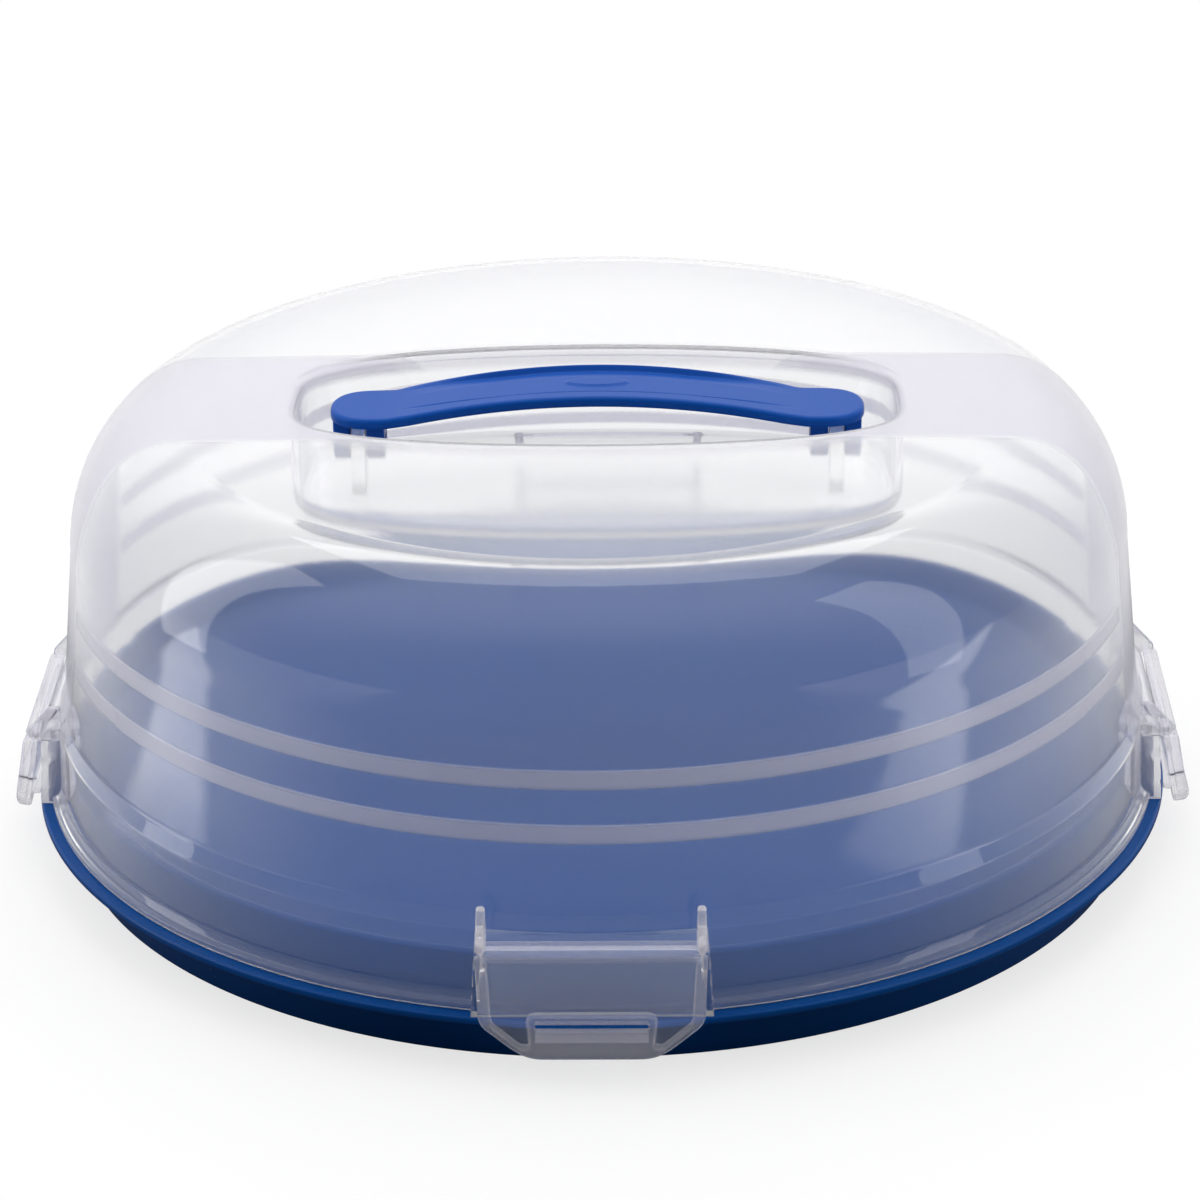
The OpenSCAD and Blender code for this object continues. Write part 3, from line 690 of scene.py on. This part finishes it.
def inside_line(u, v, line):
    """True inside a closed line: an odd number of its stretches lies to the right."""
    start, stop = line[:-1], line[1:]
    spans = (start[:, 1] > v[..., None]) != (stop[:, 1] > v[..., None])
    height = np.where(stop[:, 1] == start[:, 1], 1, stop[:, 1] - start[:, 1])
    cross = start[:, 0] + (v[..., None] - start[:, 1]) * (stop[:, 0] - start[:, 0]) / height
    return ((spans & (u[..., None] < cross)).sum(-1) % 2).astype(bool)


in_panel = inside_line(plate_u, plate_v, panel_line)
signed = np.where(in_panel, from_panel, -from_panel)
plate_front = panel_out + (face_out - panel_out) * smooth_step(signed, 0.55, -0.25)
plate_front = plate_front + rib_high * np.exp(-((signed + 0.7) / 0.45) ** 2)
head_groove = smooth_step(-plate_v, 1.9, 2.3) * smooth_step(-plate_v, 3.9, 3.5)
plate_front = plate_front - groove_deep * head_groove * (aside < clip_half - 2)
flare = smooth_step(-plate_v, clip_low - 5.2, clip_low) * smooth_step(aside, 24, 12)
plate_front = plate_front + lip_flare * flare - edge_drop(rim_distance, 1.2)
plate_back = -face_in + edge_drop(rim_distance, 0.8) + lip_flare * flare
hole = (depth[:-1, None] > slot_top - 0.01) & (depth[1:, None] < slot_low + 0.01)
hole = hole & (np.abs(plate_u[:-1, :-1] + plate_u[:-1, 1:]) / 2 < slot_half)
plate_cells = plate_faces(~hole)


def border_and_highlight_mask(material, place):
    """None on the clip's thin panel and about a half on its thick border, from the distance in mm
    that is kept on the mesh. On the edge between them it is one: a painted highlight, a milky line
    that shows bright."""
    kept = add_node(material, "ShaderNodeAttribute", attribute_name="into_panel")
    return work_out(material, {"distance": kept.outputs["Fac"]}, [
        ("border", "SMOOTHSTEP", "distance", 0.3, -0.3, 0.0, 0.5),
        ("from line", "ADD", "distance", 0.25),
        ("from line", "ABSOLUTE", "from line"),
        # Painted highlight: the edge between border and panel is made milkiest, so it shows as a
        # bright line.
        ("line", "SMOOTHSTEP", "from line", 0.45, 0.1),
        ("mask", "MAXIMUM", "border", "line")])["mask"]


def keep_distance(piece, quarter):
    """Keeps on the mesh how far each point of a clip lies inside the panel's outline, in mm. The
    points are turned back to the front and into the clip's own plane for that."""
    points = np.empty(len(piece.data.vertices) * 3)
    piece.data.vertices.foreach_get("co", points)
    points = turned(points.reshape(-1, 3) / mm, -quarter)
    c, s = math.cos(clip_lean), math.sin(clip_lean)
    down = (points[:, 1] + hinge_out) * s + (points[:, 2] - hinge_high) * c
    inside = inside_line(points[:, 0], down, panel_line)
    away = distance_inside(points[:, 0], down, panel_line)
    value = np.where(inside, away, -away).astype(np.float32)
    piece.data.attributes.new("into_panel", "FLOAT", "POINT").data.foreach_set("value", value)


def leaned(u, v, out):
    """From the clip's own plane to its closed place at the front: it hangs from the hinge and
    leans out by a small angle, so v turns about the hinge."""
    c, s = math.cos(clip_lean), math.sin(clip_lean)
    return np.stack([u, -hinge_out - out * c + v * s, hinge_high + v * c + out * s], -1)


bar_turn = np.linspace(0, 2 * np.pi, 40, endpoint=False)
bar_line = rounded(np.array([(0, -clip_half), (bar_radius, -clip_half), (bar_radius, clip_half),
                             (0, clip_half)]), [0.4, 0.4])
bar = np.stack([bar_line[:, 1:] + 0 * bar_turn, -hinge_out + bar_line[:, :1] * np.cos(bar_turn),
                hinge_high + bar_line[:, :1] * np.sin(bar_turn)], -1)
hook_outline = rounded(np.array([(177.1, hook_low), (175.3, hook_low), (hook_in, hook_high - 0.8),
                                 (hook_in, hook_high), (176.4, hook_high)]), [0.5, 0.5, 0.3])
hook_outline = refined(np.concatenate([hook_outline, hook_outline[:1]]), 0.6)[:-1]
flat, hook_faces = slab(hook_outline, -slot_half, slot_half, 0.4)
hook = np.stack([flat[..., 2], -flat[..., 0], flat[..., 1]], -1)
plate = np.stack([leaned(plate_u, plate_v, plate_front), leaned(plate_u, plate_v, plate_back)])
clip_parts = [(plate, plate_cells), (bar, grid_faces(*bar.shape[:2])), (hook, hook_faces)]
# The clip's mask makes its thick border milkier and paints a highlight along the border's inner
# edge.
clip_milky = clear_polypropylene("clip_milky_polypropylene", clear=(0.22, 0.97),
                                 frosted=(0.22, 0.84), bend=1.04, skin=0.35, mask=border_and_highlight_mask)
for quarter, side in enumerate(("front", "right", "back", "left")):
    parts = [(turned(points.reshape(-1, 3), quarter), faces) for points, faces in clip_parts]
    clip_piece = make_piece("clip_" + side + "_moulding", parts, clip_milky,
                            "clip_" + side)
    keep_distance(clip_piece, quarter)
    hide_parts("clip_" + side)


# Stage: a pale floor that keeps the carrier's shadow and fades to white, in a white room that is
# dark behind the camera. The lamps are a large box overhead and behind, and two low side boxes.
floor_material, floor_place = new_material("pale_floor")
floor_axis = add_node(floor_material, "ShaderNodeSeparateXYZ", {"Vector": floor_place})
floor_path = add_node(floor_material, "ShaderNodeLightPath")
floor_far = add_node(floor_material, "ShaderNodeVectorMath", {0: floor_place}, operation="LENGTH")
floor_known = {
    "x": floor_axis.outputs["X"], "y": floor_axis.outputs["Y"], "far": floor_far.outputs["Value"],
    "camera": floor_path.outputs["Is Camera Ray"], "painted_reflections": 0.0,
    "through": floor_path.outputs["Is Transmission Ray"],
    "mirrored": floor_path.outputs["Is Glossy Ray"]}

# The floor is paint lit by the lamps near the carrier and plain white further out, for the camera
# and through the plastic. Gloss on the carrier mirrors a white floor behind it and two painted
# reflections beside it: patches of floor that glow only in gloss, where no lamp or card stands.
# The floor's darker paint keeps its bounce off the carrier's underside.
floor_steps = [
    ("fade", "SMOOTHSTEP", "far", 0.2, 0.7, 0.72, 1.0),
    ("seen", "MAXIMUM", "camera", "through"),
    ("aside", "ABSOLUTE", "x"),
    ("lift", "MULTIPLY_ADD", "aside", 1.2, "y"),
    ("behind", "SMOOTHSTEP", "lift", -0.05, 0.25),
    ("clear of it", "SMOOTHSTEP", "far", 0.23, 0.33),
    ("behind", "MULTIPLY", "behind", "clear of it")]
# Painted reflections: two strips of floor, left and right, that glow only for gloss rays.
for reflection_start, reflection_near, reflection_far in ((-0.2, -0.125, -0.035), (0.2, -0.27, -0.16)):
    floor_steps += [
        ("near edge", "SMOOTHSTEP", "y", reflection_near - 0.01, reflection_near + 0.01),
        ("far edge", "SMOOTHSTEP", "y", reflection_far + 0.01, reflection_far - 0.01),
        ("painted_reflection", "MULTIPLY", "near edge", "far edge"),
        ("inner edge", "SMOOTHSTEP", "x", reflection_start, 1.15 * reflection_start),
        ("painted_reflection", "MULTIPLY", "painted_reflection", "inner edge"),
        ("painted_reflections", "MAXIMUM", "painted_reflections", "painted_reflection")]
floor_steps += [
    # The painted reflections glow up to 2.6 times as bright as the white floor, and only in gloss.
    ("painted_reflections", "MULTIPLY", "painted_reflections", "mirrored"),
    ("power", "MULTIPLY_ADD", "painted_reflections", 1.6, 1.0),
    ("shown", "MULTIPLY", "seen", "fade"),
    ("glossed", "MULTIPLY", "mirrored", "behind"),
    ("share", "MAXIMUM", "shown", "glossed")]
work_out(floor_material, floor_known, floor_steps)
floor_tone = add_node(floor_material, "ShaderNodeMix", {
    "Factor": floor_known["camera"], "A": linear("#707072"), "B": linear("#F2F2F2")},
    data_type="RGBA")
floor_paint = add_node(floor_material, "ShaderNodeBsdfDiffuse", {
    "Color": floor_tone.outputs["Result"]})
floor_glow = add_node(floor_material, "ShaderNodeEmission", {"Strength": floor_known["power"]})
floor_mix = add_node(floor_material, "ShaderNodeMixShader", {
    0: floor_known["share"], 1: floor_paint, 2: floor_glow})
add_node(floor_material, "ShaderNodeOutputMaterial", {"Surface": floor_mix})
floor_mesh = bpy.data.meshes.new("floor")
floor_mesh.from_pydata([(-9, -9, 0), (9, -9, 0), (9, 9, 0), (-9, 9, 0)], [], [(0, 1, 2, 3)])
floor_mesh.materials.append(floor_material)
floor_object = bpy.data.objects.new("floor", floor_mesh)
bpy.context.scene.collection.objects.link(floor_object)
floor_object.location.z = -0.0002

world = bpy.data.worlds.new("white_room")
world.use_nodes = True
world.node_tree.nodes.clear()
world_place = add_node(world, "ShaderNodeTexCoord").outputs["Generated"]
world_axis = add_node(world, "ShaderNodeSeparateXYZ", {"Vector": world_place})
world_path = add_node(world, "ShaderNodeLightPath")
world_known = work_out(world, {
    "y": world_axis.outputs["Y"], "z": world_axis.outputs["Z"],
    "camera": world_path.outputs["Is Camera Ray"],
    "through": world_path.outputs["Is Transmission Ray"]}, [
    ("lift", "MULTIPLY_ADD", "z", 0.9, "y"),
    ("room light", "SMOOTHSTEP", "lift", -0.4, 0.5, 0.1, 1.0),
    ("seen", "MAXIMUM", "camera", "through")])
room = add_node(world, "ShaderNodeBackground", {
    "Color": (1, 1, 1, 1), "Strength": world_known["room light"]})
white = add_node(world, "ShaderNodeBackground", {"Color": (1, 1, 1, 1), "Strength": 1.0})
world_mix = add_node(world, "ShaderNodeMixShader", {0: world_known["seen"], 1: room, 2: white})
add_node(world, "ShaderNodeOutputWorld", {"Surface": world_mix})
bpy.context.scene.world = world


def soft_box(name, place, aim, size, shine):
    """A rectangular lamp at place that faces aim. shine is how bright its face is, and white
    paper in plain light is 1, so its power is that times its area times pi."""
    lamp = bpy.data.lights.new(name, "AREA")
    lamp.shape = "RECTANGLE"
    lamp.size, lamp.size_y = size
    lamp.energy = shine * math.pi * size[0] * size[1]
    box = bpy.data.objects.new(name, lamp)
    bpy.context.scene.collection.objects.link(box)
    box.location = place
    box.visible_camera = False
    box.visible_transmission = False
    box.rotation_euler = (Vector(aim) - Vector(place)).to_track_quat("-Z", "Y").to_euler()


soft_box("overhead_box", (0, 0.5, 1.4), (0, 0, 0.1), (1.2, 0.8), 2.3)
soft_box("left_box", (-0.45, -0.08, 0.25), (-0.16, -0.09, 0.12), (0.12, 0.5), 2.6)
soft_box("right_box", (0.42, -0.22, 0.25), (0.12, -0.12, 0.12), (0.12, 0.5), 2.0)

scene = bpy.context.scene
scene.view_settings.view_transform = "Standard"
